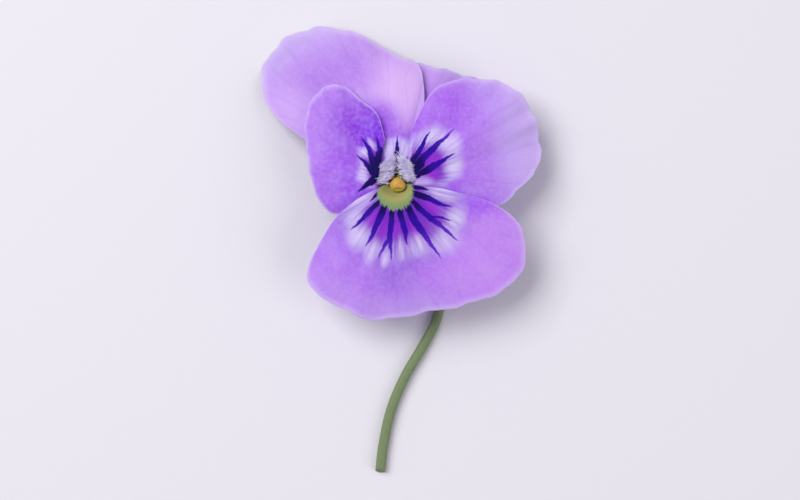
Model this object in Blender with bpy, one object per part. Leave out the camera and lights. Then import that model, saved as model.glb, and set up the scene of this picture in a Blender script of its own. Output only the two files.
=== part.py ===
"""Pansy bloom, picked with its own hooked stalk and lying face up.

Metres, +Z up, +Y towards the bloom's top. The flower rests on z = 0 on the tips of its two
upper petals and along its stalk.
"""

import math

import bmesh
import bpy
import numpy as np
from mathutils import Vector

MM = 0.001
CURVE_STEPS = 24        # steps of a smooth curve between two of its points
WELD = 0.0001           # merge distance, in millimetres
SHARP_ANGLE = 50.0      # edges sharper than this aren't shaded smooth

# Driving dimensions in millimetres. Angles are in degrees round the throat, 0 towards +X.
BLADE = 0.6             # thickness of every petal and sepal
TOUCH = 0.3             # gap between pieces that touch
LAYER = 0.98            # height from one layer of petals to the next
FACE_HEIGHT = 13.2      # middle of the front petal at the throat's lip, above the surface
LIP = 3.6               # radius of the lip where the front petal's claw turns into its blade
LIP_STEP = 0.3          # how much further out each layer behind turns
CLAW_FOOT = 2.45        # radius of the claws' feet round the receptacle
CLAW_FOOT_HEIGHT = 8.9  # height of the claws' feet
ELBOW = 1.9             # how far a blade runs straight out of its claw, in claw radii
SLOPE_STEP = 0.05       # step that a blade's slope is measured over

# The receptacle is the knob that carries the bloom, turned from (radius, height) rows.
RECEPTACLE_TOP = 9.3
RECEPTACLE_ROWS = ((0.8, 6.0), (1.3, 6.7), (2.1, 7.4), (2.1, 9.1), (1.9, RECEPTACLE_TOP))
RECEPTACLE_SIDES = 20
STALK_HALF = 1.0        # half the stalk's thickness
STALK_SIDES = 10
CUT_SLANT = 25.0        # degrees that the cut end leans

# Each petal has the sector of its claw and its layer from the front. "fall" is how far its first
# and last edges bend back at the longest reach, "hold" the share of the petal that keeps the
# first one, and "fall_shape" how late it bends, where 1 is a straight cone. "cup" bends both
# edges back, the waves run along the rim, and "rim" is the rim as (angle, reach) pairs.
PETALS = {
    "petal_lower": {
        "claw": (-150, -30), "layer": 0, "fall": (5.0, 4.0), "cup": 0.6,
        "hold": 0.0, "fall_shape": 1.7,
        "waves": 3.5, "wave_height": 0.7, "phase": 0.15,
        "rim": ((-156, 8), (-150, 12.6), (-144, 16.4), (-137, 22), (-130, 25.3), (-117, 25.6),
                (-101, 26.2), (-88, 25.3), (-77, 25), (-63, 26.1), (-49, 28), (-38, 29.1),
                (-28, 27.8), (-18, 24), (-12, 18), (-8, 9)),
    },
    "petal_side_right": {
        "claw": (-20, 28), "layer": 1, "fall": (5.5, 4.5), "cup": 0.5,
        "hold": 0.0, "fall_shape": 1.7,
        "waves": 3.0, "wave_height": 0.8, "phase": 0.55,
        "rim": ((-27, 9), (-20, 15.5), (-11.5, 20.3), (-3, 23.2), (7, 27.2), (18, 28.5),
                (30, 29), (42, 27.9), (54, 24.3), (63, 21.1), (69, 17.5), (74, 10)),
    },
    "petal_side_left": {
        "claw": (154, 200), "layer": 1, "fall": (4.0, 9.0), "cup": 0.5,
        "hold": 0.5, "fall_shape": 1.7,
        "waves": 2.5, "wave_height": 0.6, "phase": 0.3,
        "rim": ((104, 8), (105, 13.2), (112, 16.4), (119, 21), (128, 22.5), (138, 21.9),
                (148, 20.2), (160, 17.8), (173, 16.3), (186, 15.3), (198, 14.4), (208, 12.6),
                (214, 8)),
    },
    "petal_upper_left": {
        "claw": (97, 137), "layer": 2, "fall": (13.8, 11.4), "cup": 0.4,
        "hold": 0.0, "fall_shape": 1.3,
        "waves": 3.0, "wave_height": 0.9, "phase": 0.1,
        "rim": ((70, 9), (73, 17.5), (79, 22.8), (91, 24.7), (104, 29.6), (116, 33.6),
                (128, 35.2), (140, 33.6), (149, 28.2), (154, 20), (156, 10)),
    },
    "petal_upper_right": {
        "claw": (41, 83), "layer": 3, "fall": (10.6, 10.6), "cup": 0.3,
        "hold": 0.0, "fall_shape": 1.4,
        "waves": 2.5, "wave_height": 0.5, "phase": 0.6,
        "rim": ((14, 9), (20, 17.5), (28, 23.5), (38, 26), (48, 26.2), (58, 24.6), (70, 23.6),
                (82, 23.2), (94, 21.5), (103, 17), (108, 9)),
    },
}
PETAL_ACROSS = 24
PETAL_ALONG = 12
CLAW_ROWS = 4           # rows of a petal that lie on its claw
CLAW_END = 4.8          # radius where those rows end
VEIN_POINTS = 80

# Sepals stand between the petals. Their middle line is (radius, height) from the tip of the
# ear behind the receptacle, past the foot, to the tip of the blade.
SEPAL_ANGLES = {
    "sepal_top": 90, "sepal_upper_left": 149, "sepal_upper_right": 32,
    "sepal_lower_left": 214, "sepal_lower_right": -34,
}
SEPAL_LINE_UPPER = ((3.6, 5.1), (2.85, 6.2), (2.55, 7.3), (3.3, 8.25), (5.2, 8.75), (8, 8.1),
                    (10.5, 7.0), (12.6, 5.8))
SEPAL_LINE_LOWER = ((3.6, 5.1), (2.85, 6.2), (2.55, 7.3), (3.3, 8.5), (5.2, 9.5), (8, 9.8),
                    (10.5, 9.5), (12.6, 8.8))
SEPAL_WIDTHS = (1.5, 2.3, 1.9, 2.2, 3.1, 3.0, 2.0, 0.7)
SEPAL_ACROSS = 4
SEPAL_ALONG = 14
SEPAL_KEEL = 0.35

# The spur is the heel of the lower petal, drawn as (y, height, radius) down its middle.
SPUR_LINE = ((-3.3, 10.3, 0.7), (-3.5, 8.8, 1.05), (-3.7, 7.2, 1.2), (-3.9, 5.7, 1.15),
             (-4.1, 4.5, 0.95), (-4.2, 3.9, 0.55))
SPUR_SIDES = 12
SPUR_RINGS = 12
SPUR_FLATNESS = 0.9

# The stalk leaves the receptacle backwards, hooks over and lies down. Points are (x, y, height).
STALK_ROUTE = ((0, 0, 8.3), (0, 0.5, 6.6), (0, 1.15, 4.7), (0, 0.7, 2.85), (0.05, -0.6, 1.55),
               (0.4, -2.5, 1.0), (2.6, -7.5, 1.0), (6.4, -13.5, 1.0), (8.5, -19.5, 1.0),
               (7.9, -25.5, 1.0), (5.2, -31, 1.0), (1.7, -37, 1.0), (-1.0, -43.5, 1.0),
               (-2.5, -50.5, 1.0), (-3.0, -55, 1.0))
STALK_STATIONS = 64
STALK_AHEAD = 8         # stations ahead that the stalk's level side is taken from
BRACT_PLACE = 0.45      # share of the stalk's length from the receptacle to the two bracts
BRACT_LENGTH = 3.0
BRACT_FOOT = 0.45       # how far from the stalk's middle a bract starts
BRACT_SPREAD = 1.25     # how far its tip stands out beyond that
BRACT_ROWS = ((0.0, 0.75), (0.35, 0.6), (0.7, 0.45), (1.0, 0.3))
BRACT_FLATNESS = 0.6
BRACT_SIDES = 6

# The five anthers close into a cone round the ovary. Rows are (height, outer, inner radius).
STAMEN_BASE = RECEPTACLE_TOP + TOUCH
STAMEN_ROWS = ((0.0, 1.35, 1.05), (0.6, 1.6, 1.1), (1.3, 1.55, 1.0), (2.0, 1.3, 0.8),
               (2.5, 1.0, 0.65))
STAMEN_COUNT = 5
STAMEN_SIDES = 30
STAMEN_RINGS = 6
STAMEN_LOBE = 0.1
PISTIL_ROWS = ((0.45, 0.0), (0.75, 0.5), (0.75, 1.0), (0.45, 1.7), (0.35, 2.4), (0.45, 2.8),
               (0.8, 3.15), (0.9, 3.55), (0.7, 3.95), (0.3, 4.15))
PISTIL_SIDES = 16


def clear_scene():
    for thing in list(bpy.data.objects):
        bpy.data.objects.remove(thing, do_unlink=True)


def plain_material(name, colour, roughness):
    """Principled material with a linear base colour."""
    material = bpy.data.materials.new(name)
    material.use_nodes = True
    surface = material.node_tree.nodes["Principled BSDF"]
    surface.inputs["Base Color"].default_value = (*colour, 1.0)
    surface.inputs["Roughness"].default_value = roughness
    surface.inputs["Metallic"].default_value = 0.0
    return material


def smooth_line(points, count):
    """Points spaced evenly along a smooth curve through the given points."""
    p = np.array(points, dtype=float)
    p = np.vstack([2 * p[0] - p[1], p, 2 * p[-1] - p[-2]])
    fine = []
    for i in range(1, len(p) - 2):
        for t in np.linspace(0, 1, CURVE_STEPS, endpoint=False):
            fine.append(0.5 * (2 * p[i] + (p[i + 1] - p[i - 1]) * t
                               + (2 * p[i - 1] - 5 * p[i] + 4 * p[i + 1] - p[i + 2]) * t ** 2
                               + (3 * p[i] - 3 * p[i + 1] + p[i + 2] - p[i - 1]) * t ** 3))
    fine.append(p[-2])
    fine = np.array(fine)
    run = np.concatenate([[0], np.cumsum(np.linalg.norm(np.diff(fine, axis=0), axis=1))])
    at = np.linspace(0, run[-1], count)
    return np.column_stack([np.interp(at, run, fine[:, k]) for k in range(fine.shape[1])])


def ease(t):
    t = np.clip(t, 0.0, 1.0)
    return t * t * (3 - 2 * t)


def finish(name, bm, material):
    """Turns a bmesh into a named object in metres, with its faces pointing out."""
    bmesh.ops.recalc_face_normals(bm, faces=bm.faces[:])
    bmesh.ops.scale(bm, vec=Vector((MM, MM, MM)), verts=bm.verts[:])
    mesh = bpy.data.meshes.new(name)
    bm.to_mesh(mesh)
    bm.free()
    mesh.shade_smooth()
    mesh.set_sharp_from_angle(angle=math.radians(SHARP_ANGLE))
    mesh.materials.append(material)
    thing = bpy.data.objects.new(name, mesh)
    bpy.context.scene.collection.objects.link(thing)
    return thing


def blade_solid(name, across, along, place, material):
    """A thin blade: a grid of triangles, doubled, with both faces bent alike by place(u, v, side)."""
    bm = bmesh.new()
    bmesh.ops.create_grid(bm, x_segments=across, y_segments=along, size=0.5)
    bmesh.ops.triangulate(bm, faces=bm.faces[:], quad_method="ALTERNATE")
    made = bmesh.ops.extrude_face_region(bm, geom=bm.faces[:])
    backs = {piece for piece in made["geom"] if isinstance(piece, bmesh.types.BMVert)}
    for vert in bm.verts:
        side = -1 if vert in backs else 1
        vert.co = place(vert.co.x + 0.5, vert.co.y + 0.5, side * BLADE / 2)
    bmesh.ops.triangulate(bm, faces=bm.faces[:])
    return finish(name, bm, material)


def vein(start, end, longest):
    """Points of a petal's vein in plan: straight out of the claw, then bent to its rim point."""
    bend = start * (1 + ELBOW * min(1.0, np.linalg.norm(end) / longest))
    t = np.linspace(0, 1, VEIN_POINTS)[:, None]
    return (1 - t) ** 2 * start + 2 * t * (1 - t) * bend + t ** 2 * end


def row_radius(row, reach):
    """Distance of a row of a petal from the throat. The claw's rows are alike on every vein."""
    if row <= CLAW_ROWS:
        return CLAW_FOOT + (CLAW_END - CLAW_FOOT) * row / CLAW_ROWS
    return CLAW_END + (reach - CLAW_END) * (row - CLAW_ROWS) / (PETAL_ALONG - CLAW_ROWS)


def petal(name, spec, material):
    angles = np.array([a for a, _ in spec["rim"]])
    reaches = np.array([r for _, r in spec["rim"]])
    turns = np.radians(angles)
    rim = smooth_line(np.column_stack([reaches * np.cos(turns), reaches * np.sin(turns)]),
                      PETAL_ACROSS + 1)
    claw = np.radians(np.linspace(*spec["claw"], PETAL_ACROSS + 1))
    foot = CLAW_FOOT * np.column_stack([np.cos(claw), np.sin(claw)])
    longest = reaches.max()
    top = FACE_HEIGHT - spec["layer"] * LAYER
    lip = LIP + spec["layer"] * LIP_STEP

    def height(u, radius):
        rise = CLAW_FOOT_HEIGHT + (top - CLAW_FOOT_HEIGHT) * ease(
            (radius - CLAW_FOOT) / (lip - CLAW_FOOT))
        out = max(0.0, (radius - lip) / (longest - lip))
        turned = ease((u - spec["hold"]) / (1 - spec["hold"]))
        fall = spec["fall"][0] + (spec["fall"][1] - spec["fall"][0]) * turned
        wave = spec["wave_height"] * out ** 2 * math.sin(
            2 * math.pi * (spec["waves"] * u + spec["phase"]))
        cup = spec["cup"] * (2 * u - 1) ** 2 * out
        return max(rise - fall * out ** spec["fall_shape"] + wave - cup, BLADE / 2)

    def place(u, v, offset):
        column = int(round(u * PETAL_ACROSS))
        path = vein(foot[column], rim[column], longest)
        radius = row_radius(int(round(v * PETAL_ALONG)), reach=np.linalg.norm(rim[column]))
        radii = np.linalg.norm(path, axis=1)
        middle = np.array([np.interp(radius, radii, path[:, k]) for k in (0, 1)])
        slope = (height(u, radius + SLOPE_STEP) - height(u, radius)) / SLOPE_STEP
        steep = math.hypot(1, slope)
        x, y = middle * (1 - offset * slope / steep / radius)
        return Vector((x, y, height(u, radius) + offset / steep))

    return blade_solid(name, PETAL_ACROSS, PETAL_ALONG, place, material)


def sepal(name, angle, line, material):
    middle = smooth_line(line, SEPAL_ALONG + 1)
    stations = np.linspace(0, 1, len(SEPAL_WIDTHS))
    turn = math.radians(angle)
    outward = Vector((math.cos(turn), math.sin(turn), 0))
    sideways = Vector((-math.sin(turn), math.cos(turn), 0))

    def place(u, v, offset):
        row = int(round(v * SEPAL_ALONG))
        radius, height = middle[row]
        run, climb = middle[min(row + 1, SEPAL_ALONG)] - middle[max(row - 1, 0)]
        steep = math.hypot(run, climb)
        width = float(np.interp(v, stations, SEPAL_WIDTHS))
        side = u - 0.5
        lift = offset - SEPAL_KEEL * (1 - abs(2 * side)) * min(1.0, width / 2)
        out = radius - lift * climb / steep
        return outward * out + sideways * side * width + Vector((0, 0, height + lift * run / steep))

    return blade_solid(name, SEPAL_ACROSS, SEPAL_ALONG, place, material)


def sweep_solid(name, rings, material):
    """Extrudes a capped face from ring to ring. Each ring is a list of points in order."""
    bm = bmesh.new()
    made = bmesh.ops.create_circle(bm, cap_ends=True, segments=len(rings[0]), radius=1.0)
    cap = made["verts"][0].link_faces[0]
    for corner, point in zip([loop.vert for loop in cap.loops], rings[0]):
        corner.co = point
    for number, ring in enumerate(rings[1:]):
        made = bmesh.ops.extrude_face_region(bm, geom=[cap])
        if number > 0:
            bmesh.ops.delete(bm, geom=[cap], context="FACES_ONLY")
        cap = [piece for piece in made["geom"] if isinstance(piece, bmesh.types.BMFace)][0]
        for corner, point in zip([loop.vert for loop in cap.loops], ring):
            corner.co = point
    bmesh.ops.triangulate(bm, faces=bm.faces[:])
    return finish(name, bm, material)


def turns(sides):
    return [2 * math.pi * k / sides for k in range(sides)]


def spin_profile(name, rows, sides, base, material):
    """A closed turned solid from (radius, height) rows, with flat ends."""
    rings = []
    for radius, height in rows:
        rings.append([Vector((radius * math.cos(turn), radius * math.sin(turn), base + height))
                      for turn in turns(sides)])
    return sweep_solid(name, rings, material)


def join_solid(target, tool):
    """Unites two overlapping solids into the target and removes the tool."""
    union = target.modifiers.new("join", "BOOLEAN")
    union.operation = "UNION"
    union.solver = "EXACT"
    union.object = tool
    graph = bpy.context.evaluated_depsgraph_get()
    joined = bpy.data.meshes.new_from_object(target.evaluated_get(graph))
    target.modifiers.remove(union)
    target.data = joined
    bpy.data.objects.remove(tool, do_unlink=True)


def spur(material):
    """Tapered heel behind the lower petal's claw."""
    rings = []
    for y, height, radius in smooth_line(SPUR_LINE, SPUR_RINGS):
        rings.append([Vector((radius * math.cos(turn),
                              y + SPUR_FLATNESS * radius * math.sin(turn), height))
                      for turn in turns(SPUR_SIDES)])
    return sweep_solid("spur", rings, material)


def stalk_route():
    route = smooth_line(STALK_ROUTE, STALK_STATIONS)
    route[:, 2] = np.maximum(route[:, 2], STALK_HALF)
    return route


def stalk_rings():
    """Sections along the stalk, each with a flat below, so that the lying part has a flat."""
    route = stalk_route()
    corner = STALK_HALF / math.cos(math.pi / STALK_SIDES)
    last = len(route) - 1
    rings = []
    for i, point in enumerate(route):
        along = Vector(route[min(i + 1, last)] - route[max(i - 1, 0)]).normalized()
        heading = route[min(i + STALK_AHEAD, last)] - route[min(i, last - 1)]
        side = Vector((-heading[1], heading[0], 0))
        side = (side - along * side.dot(along)).normalized()
        up = along.cross(side)
        slant = math.tan(math.radians(CUT_SLANT)) if i == last else 0.0
        ring = []
        for turn in turns(STALK_SIDES):
            turn += math.pi / STALK_SIDES - math.pi / 2
            high = corner * math.sin(turn)
            ring.append(Vector(point) + side * corner * math.cos(turn) + up * high
                        - along * high * slant)
        rings.append(ring)
    return rings


def bracts(material):
    """Two small pointed scales, one on each side of the stalk."""
    route = stalk_route()
    place = int(BRACT_PLACE * STALK_STATIONS)
    foot = Vector(route[place])
    back = Vector(route[place - 1] - route[place]).normalized()
    side = Vector((-back.y, back.x, 0))
    made = []
    for hand in (-1, 1):
        rings = []
        for share, radius in BRACT_ROWS:
            out = side * hand * (BRACT_FOOT + BRACT_SPREAD * share)
            centre = foot + out + back * BRACT_LENGTH * share
            rings.append([centre + side * BRACT_FLATNESS * radius * math.cos(turn)
                          + Vector((0, 0, radius * math.sin(turn)))
                          for turn in turns(BRACT_SIDES)])
        made.append(sweep_solid("bract", rings, material))
    return made


def stem(material):
    """The hooked stalk, its two bracts and the receptacle that carries the bloom."""
    stalk = sweep_solid("stem", stalk_rings(), material)
    knob = spin_profile("receptacle", RECEPTACLE_ROWS, RECEPTACLE_SIDES, 0.0, material)
    join_solid(stalk, knob)
    for scale in bracts(material):
        join_solid(stalk, scale)
    return stalk


def stamens(material):
    """Five anthers side by side in a cone that is open down its middle."""
    bm = bmesh.new()
    rows = smooth_line(STAMEN_ROWS, STAMEN_RINGS)
    section = [(outer, height, True) for height, outer, _ in rows]
    section += [(inner, height, False) for height, _, inner in rows[::-1]]
    bmesh.ops.create_grid(bm, x_segments=STAMEN_SIDES, y_segments=len(section), size=0.5)
    for vert in bm.verts:
        around = int(round((vert.co.x + 0.5) * STAMEN_SIDES)) % STAMEN_SIDES
        radius, height, outside = section[int(round((vert.co.y + 0.5) * len(section)))
                                          % len(section)]
        turn = 2 * math.pi * around / STAMEN_SIDES
        if outside:
            radius += STAMEN_LOBE * (abs(math.cos(STAMEN_COUNT * turn / 2)) * 2 - 1)
        vert.co = (radius * math.cos(turn), radius * math.sin(turn), STAMEN_BASE + height)
    bmesh.ops.remove_doubles(bm, verts=bm.verts[:], dist=WELD)
    bmesh.ops.triangulate(bm, faces=bm.faces[:])
    return finish("stamens", bm, material)


def centre_on_origin(pieces):
    """Moves the flower so that the middle of its box is over the origin."""
    corners = [vert.co for piece in pieces for vert in piece.data.vertices]
    middle = [(min(c[k] for c in corners) + max(c[k] for c in corners)) / 2 for k in (0, 1)]
    for piece in pieces:
        for vert in piece.data.vertices:
            vert.co.x -= middle[0]
            vert.co.y -= middle[1]
        piece.data.update()


def main():
    clear_scene()
    petal_pale = plain_material("petal_pale_lilac", (0.56, 0.36, 0.86), 0.55)
    petal_violet = plain_material("petal_violet", (0.40, 0.19, 0.78), 0.55)
    green = plain_material("stalk_green", (0.13, 0.16, 0.09), 0.6)
    sepal_green = plain_material("sepal_green", (0.06, 0.08, 0.07), 0.6)
    orange = plain_material("anther_orange", (0.62, 0.25, 0.05), 0.6)
    stigma = plain_material("stigma_green", (0.45, 0.50, 0.16), 0.45)

    pieces = [stem(green)]
    for name, spec in PETALS.items():
        pieces.append(petal(name, spec, petal_pale if "upper" in name else petal_violet))
    lower = [piece for piece in pieces if piece.name == "petal_lower"][0]
    join_solid(lower, spur(petal_violet))
    for name, angle in SEPAL_ANGLES.items():
        line = SEPAL_LINE_LOWER if "lower" in name else SEPAL_LINE_UPPER
        pieces.append(sepal(name, angle, line, sepal_green))
    pieces.append(stamens(orange))
    pieces.append(spin_profile("pistil", PISTIL_ROWS, PISTIL_SIDES, STAMEN_BASE, stigma))
    centre_on_origin(pieces)


main()
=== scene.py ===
"""Pansy bloom, picked with its own hooked stalk and lying face up.

Sizes in the tables are millimetres from the throat's axis, and heights are above the surface that
the flower lies on. Angles are degrees round the throat, 0 towards +X.
"""

import math
import random

import bmesh
import bpy
import numpy as np
from mathutils import Matrix, Vector


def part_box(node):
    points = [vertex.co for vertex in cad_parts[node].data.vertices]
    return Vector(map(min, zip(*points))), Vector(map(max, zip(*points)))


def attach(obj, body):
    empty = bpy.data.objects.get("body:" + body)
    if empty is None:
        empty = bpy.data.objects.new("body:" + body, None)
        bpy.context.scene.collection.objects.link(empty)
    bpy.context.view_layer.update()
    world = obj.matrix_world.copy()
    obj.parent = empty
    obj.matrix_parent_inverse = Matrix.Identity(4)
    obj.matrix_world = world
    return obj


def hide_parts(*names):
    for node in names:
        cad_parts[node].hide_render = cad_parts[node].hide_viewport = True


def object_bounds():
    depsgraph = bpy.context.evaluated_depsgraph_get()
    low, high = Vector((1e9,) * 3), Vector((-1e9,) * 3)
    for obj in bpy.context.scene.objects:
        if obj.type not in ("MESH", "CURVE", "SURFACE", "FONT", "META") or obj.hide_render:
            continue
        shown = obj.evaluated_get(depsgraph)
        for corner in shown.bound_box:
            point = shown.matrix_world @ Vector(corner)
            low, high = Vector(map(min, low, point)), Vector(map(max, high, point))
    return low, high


bl_info = {
    "name": "Pansy bloom",
    "version": (1, 0, 0),
    "blender": (4, 5, 0),
    "location": "View3D > Sidebar > Pansy",
    "description": "Builds a pansy bloom with its petals, beards, sepals and stalk",
    "category": "Add Mesh",
}

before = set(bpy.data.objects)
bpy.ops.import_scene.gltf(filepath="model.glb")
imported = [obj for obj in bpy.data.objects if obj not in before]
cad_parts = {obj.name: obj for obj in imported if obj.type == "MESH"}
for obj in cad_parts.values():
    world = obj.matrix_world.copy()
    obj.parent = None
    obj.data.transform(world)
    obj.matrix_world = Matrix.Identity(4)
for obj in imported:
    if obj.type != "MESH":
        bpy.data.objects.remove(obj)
CAD_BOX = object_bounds()

MM = 0.001
STIGMA_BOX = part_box("pistil")
THROAT = (STIGMA_BOX[0] + STIGMA_BOX[1]) / 2
THROAT.z = 0.0

# Petals. The rim is (angle, reach) pairs, and the claw is the sector of the petal's foot.
FACE_HEIGHT = 13.2      # middle of the front petal at the throat's lip
LAYER = 0.98            # height from one layer of petals to the next
LIP = 3.6               # radius where the front petal's claw turns into its blade
LIP_STEP = 0.3          # how much further out each layer behind turns
CLAW_FOOT = (2.45, 8.9)  # radius and height of a claw's foot
CLAW_END = 4.8          # radius where the rows that lie on the claw end
CLAW_SHARE = 0.28       # share of a petal's rows that lie on the claw
ELBOW = 1.9             # how far a blade runs straight out of its claw, in claw radii
FALL_SHAPE = 1.7        # power of the way out that a blade bends back by
PETALS = {
    "petal_lower": {
        "claw": (-168, -10), "foot": (1.5, 11.2), "layer": 0, "fall": (5.0, 4.0), "cup": 0.6,
        "waves": 3.5, "wave_height": 0.7, "phase": 0.15,
        "rim": ((-156, 8), (-150, 12.6), (-144, 16.4), (-137, 22), (-130, 25.3), (-117, 25.6),
                (-101, 26.2), (-88, 25.3), (-77, 25), (-63, 26.1), (-49, 28), (-38, 29.1),
                (-28, 27.8), (-18, 24), (-12, 18), (-8, 9)),
    },
    "petal_side_right": {
        "claw": (-20, 52), "layer": 1, "fall": (5.5, 4.5), "cup": 0.5,
        "waves": 3.0, "wave_height": 0.8, "phase": 0.55,
        "rim": ((-27, 9), (-20, 15.5), (-11.5, 20.3), (-3, 23.2), (7, 27.2), (18, 28.5),
                (30, 29), (42, 27.9), (54, 24.3), (63, 21.1), (69, 17.5), (74, 10)),
    },
    "petal_side_left": {
        "claw": (154, 200), "layer": 1, "fall": (4.0, 9.0), "cup": 0.5,
        "hold": 0.5, "waves": 2.5, "wave_height": 0.6, "phase": 0.3,
        "rim": ((104, 8), (105, 13.2), (112, 16.4), (119, 21), (128, 22.5), (138, 21.9),
                (148, 20.2), (160, 17.8), (173, 16.3), (186, 15.3), (198, 14.4), (208, 12.6),
                (214, 8)),
    },
    "petal_upper_left": {
        "claw": (62, 137), "layer": 2, "fall": (13.8, 11.4), "cup": 0.4,
        "fall_shape": 1.5, "waves": 3.0, "wave_height": 0.9, "phase": 0.1,
        "rim": ((63, 9), (71, 16.5), (79, 22.8), (91, 24.7), (104, 29.6), (116, 33.6),
                (128, 35.2), (140, 33.6), (149, 28.2), (154, 20), (156, 10)),
    },
    "petal_upper_right": {
        "claw": (41, 83), "layer": 3, "fall": (10.6, 8.2), "cup": 0.3,
        "fall_shape": 1.4, "waves": 2.5, "wave_height": 0.5, "phase": 0.6,
        "rim": ((14, 9), (20, 17.5), (28, 23.5), (38, 26), (48, 26.2), (58, 24.6), (70, 23.6),
                (82, 23.2), (94, 21.5), (103, 17), (108, 9)),
    },
}
PETAL_ACROSS = 112
PETAL_ALONG = 68
PATH_STEPS = 120        # steps along the curve from a petal's foot to its rim
PLEATS = (4.2, 10.92)   # soft folds that run out from the claw
PLEAT_HEIGHT = 0.16
PLEAT_GROWTH = 0.7      # power of the way out that their height follows
RUFFLES = (9.0, 17.0)   # waves of the rim, across the petal
RUFFLE_GROWTH = 5
NOTCHES = (11.0, 23.0)
NOTCH_DEPTH = 0.007     # share of the reach
VEINS = (7.0, 14.0, 28.0)
VEIN_FORKS = (0.02, 0.28, 0.6)  # share of the blade where each set of veins begins
VEIN_DRIFT = ((0.010, 17.0, 9.0), (0.005, -31.0, 21.0))  # (share of the width, across, along)
VEIN_RIDGE = 0.45       # width of a vein's ridge, where 1 reaches the middle between two veins
VEIN_FADE = 0.2         # share of the blade over which veins come and go
FRONT_VEINS = 0.5       # how deep the veins lie in the face, as a share of their rise on the back
RIM_START = 0.8         # share of a petal's length where it starts to thin
SIDE_START = 0.93       # share of its half width where it does
WHISKER_BLUR = 0.1

# Markings, painted in plan. A whisker is a row of (x, y, half width) from its root to its tip.
WHISKERS = {
    "petal_lower": (
        ((-3.6, -2.2, 0.35), (-4.8, -3.7, 0.06)),
        ((-2.9, -3.5, 0.45), (-5.1, -5.7, 0.50), (-7.0, -7.9, 0.26), (-8.3, -8.9, 0.05)),
        ((-2.1, -4.2, 0.52), (-3.0, -6.8, 0.60), (-4.4, -9.8, 0.44), (-5.6, -11.9, 0.06)),
        ((-0.8, -4.6, 0.50), (-0.9, -7.5, 0.58), (-1.1, -10.6, 0.50), (-0.8, -14.4, 0.06)),
        ((-1.2, -10.4, 0.36), (-2.3, -12.1, 0.32), (-3.3, -14.0, 0.06)),
        ((0.6, -4.6, 0.48), (1.1, -7.0, 0.62), (1.7, -9.4, 0.44), (2.1, -11.4, 0.06)),
        ((1.8, -4.0, 0.55), (3.0, -6.3, 0.76), (4.4, -8.5, 0.66), (6.4, -11.4, 0.42),
         (8.4, -14.1, 0.06)),
        ((2.7, -3.1, 0.50), (4.6, -5.1, 0.58), (7.3, -7.3, 0.50), (9.6, -9.1, 0.34),
         (11.6, -10.9, 0.06)),
        ((6.6, -6.4, 0.24), (8.6, -6.6, 0.28), (10.4, -7.1, 0.05)),
        ((3.0, -1.9, 0.50), (5.2, -2.8, 0.58), (7.8, -3.8, 0.40), (10.5, -4.6, 0.06)),
        ((3.4, -0.9, 0.40), (4.9, -1.3, 0.36), (6.0, -1.6, 0.06)),
    ),
    "petal_side_right": (
        ((4.0, 1.1, 0.45), (6.0, 2.4, 0.70), (8.0, 3.5, 0.52), (11.0, 5.4, 0.06)),
        ((3.5, 3.1, 0.60), (5.4, 4.8, 0.78), (7.6, 6.9, 0.54), (11.0, 9.9, 0.06)),
        ((2.9, 3.9, 0.46), (4.2, 5.6, 0.50), (5.1, 7.3, 0.36), (6.2, 9.4, 0.06)),
        ((3.3, 2.0, 0.80), (4.8, 3.4, 0.60)),
    ),
    "petal_side_left": (
        ((-3.6, 1.0, 0.80), (-4.3, 3.9, 0.60), (-5.1, 6.2, 0.42), (-6.6, 8.7, 0.06)),
        ((-3.2, 1.6, 0.70), (-3.2, 4.2, 0.85), (-2.9, 6.0, 0.50), (-3.5, 8.4, 0.06)),
        ((-3.9, 1.5, 0.70), (-5.3, 3.1, 0.48), (-7.1, 5.0, 0.06)),
        ((-3.6, 1.0, 0.80), (-4.9, -0.2, 0.56), (-7.0, -1.7, 0.10)),
    ),
    "petal_upper_left": (((0.1, 4.4, 0.25), (0.2, 6.2, 0.38), (0.3, 8.8, 0.06)),),
    "petal_upper_right": (((0.9, 4.6, 0.20), (1.5, 6.4, 0.28), (2.3, 8.6, 0.05)),),
}


def linear(code):
    """Linear colour with alpha 1 from an sRGB hex value."""
    parts = [int(code[k:k + 2], 16) / 255 for k in (0, 2, 4)]
    return (*[p / 12.92 if p <= 0.04045 else ((p + 0.055) / 1.055) ** 2.4 for p in parts], 1.0)


def ease(t):
    t = np.clip(t, 0.0, 1.0)
    return t * t * (3 - 2 * t)


def smooth_line(points, count, steps=24):
    """Points spaced evenly along a smooth curve through the given points."""
    p = np.array(points, dtype=float)
    p = np.vstack([2 * p[0] - p[1], p, 2 * p[-1] - p[-2]])
    fine = []
    for i in range(1, len(p) - 2):
        for t in np.linspace(0, 1, steps, endpoint=False):
            fine.append(0.5 * (2 * p[i] + (p[i + 1] - p[i - 1]) * t
                               + (2 * p[i - 1] - 5 * p[i] + 4 * p[i + 1] - p[i + 2]) * t ** 2
                               + (3 * p[i] - 3 * p[i + 1] + p[i + 2] - p[i - 1]) * t ** 3))
    fine.append(p[-2])
    fine = np.array(fine)
    run = np.concatenate([[0], np.cumsum(np.linalg.norm(np.diff(fine, axis=0), axis=1))])
    at = np.linspace(0, run[-1], count)
    return np.column_stack([np.interp(at, run, fine[:, k]) for k in range(fine.shape[1])])


def wave(u, counts, phase):
    """Sum of sine waves across a petal, each with its own start."""
    return sum(np.sin(2 * math.pi * (count * u + phase * (k + 1) * 1.7)) / (k + 1)
               for k, count in enumerate(counts))


def join(tree, socket, value):
    """Sets a socket to a value, or links it to a socket or to a node's first output in use."""
    if isinstance(value, bpy.types.Node):
        value = next(s for s in value.outputs if s.enabled)
    if isinstance(value, bpy.types.NodeSocket):
        tree.links.new(value, socket)
    else:
        socket.default_value = value


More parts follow.
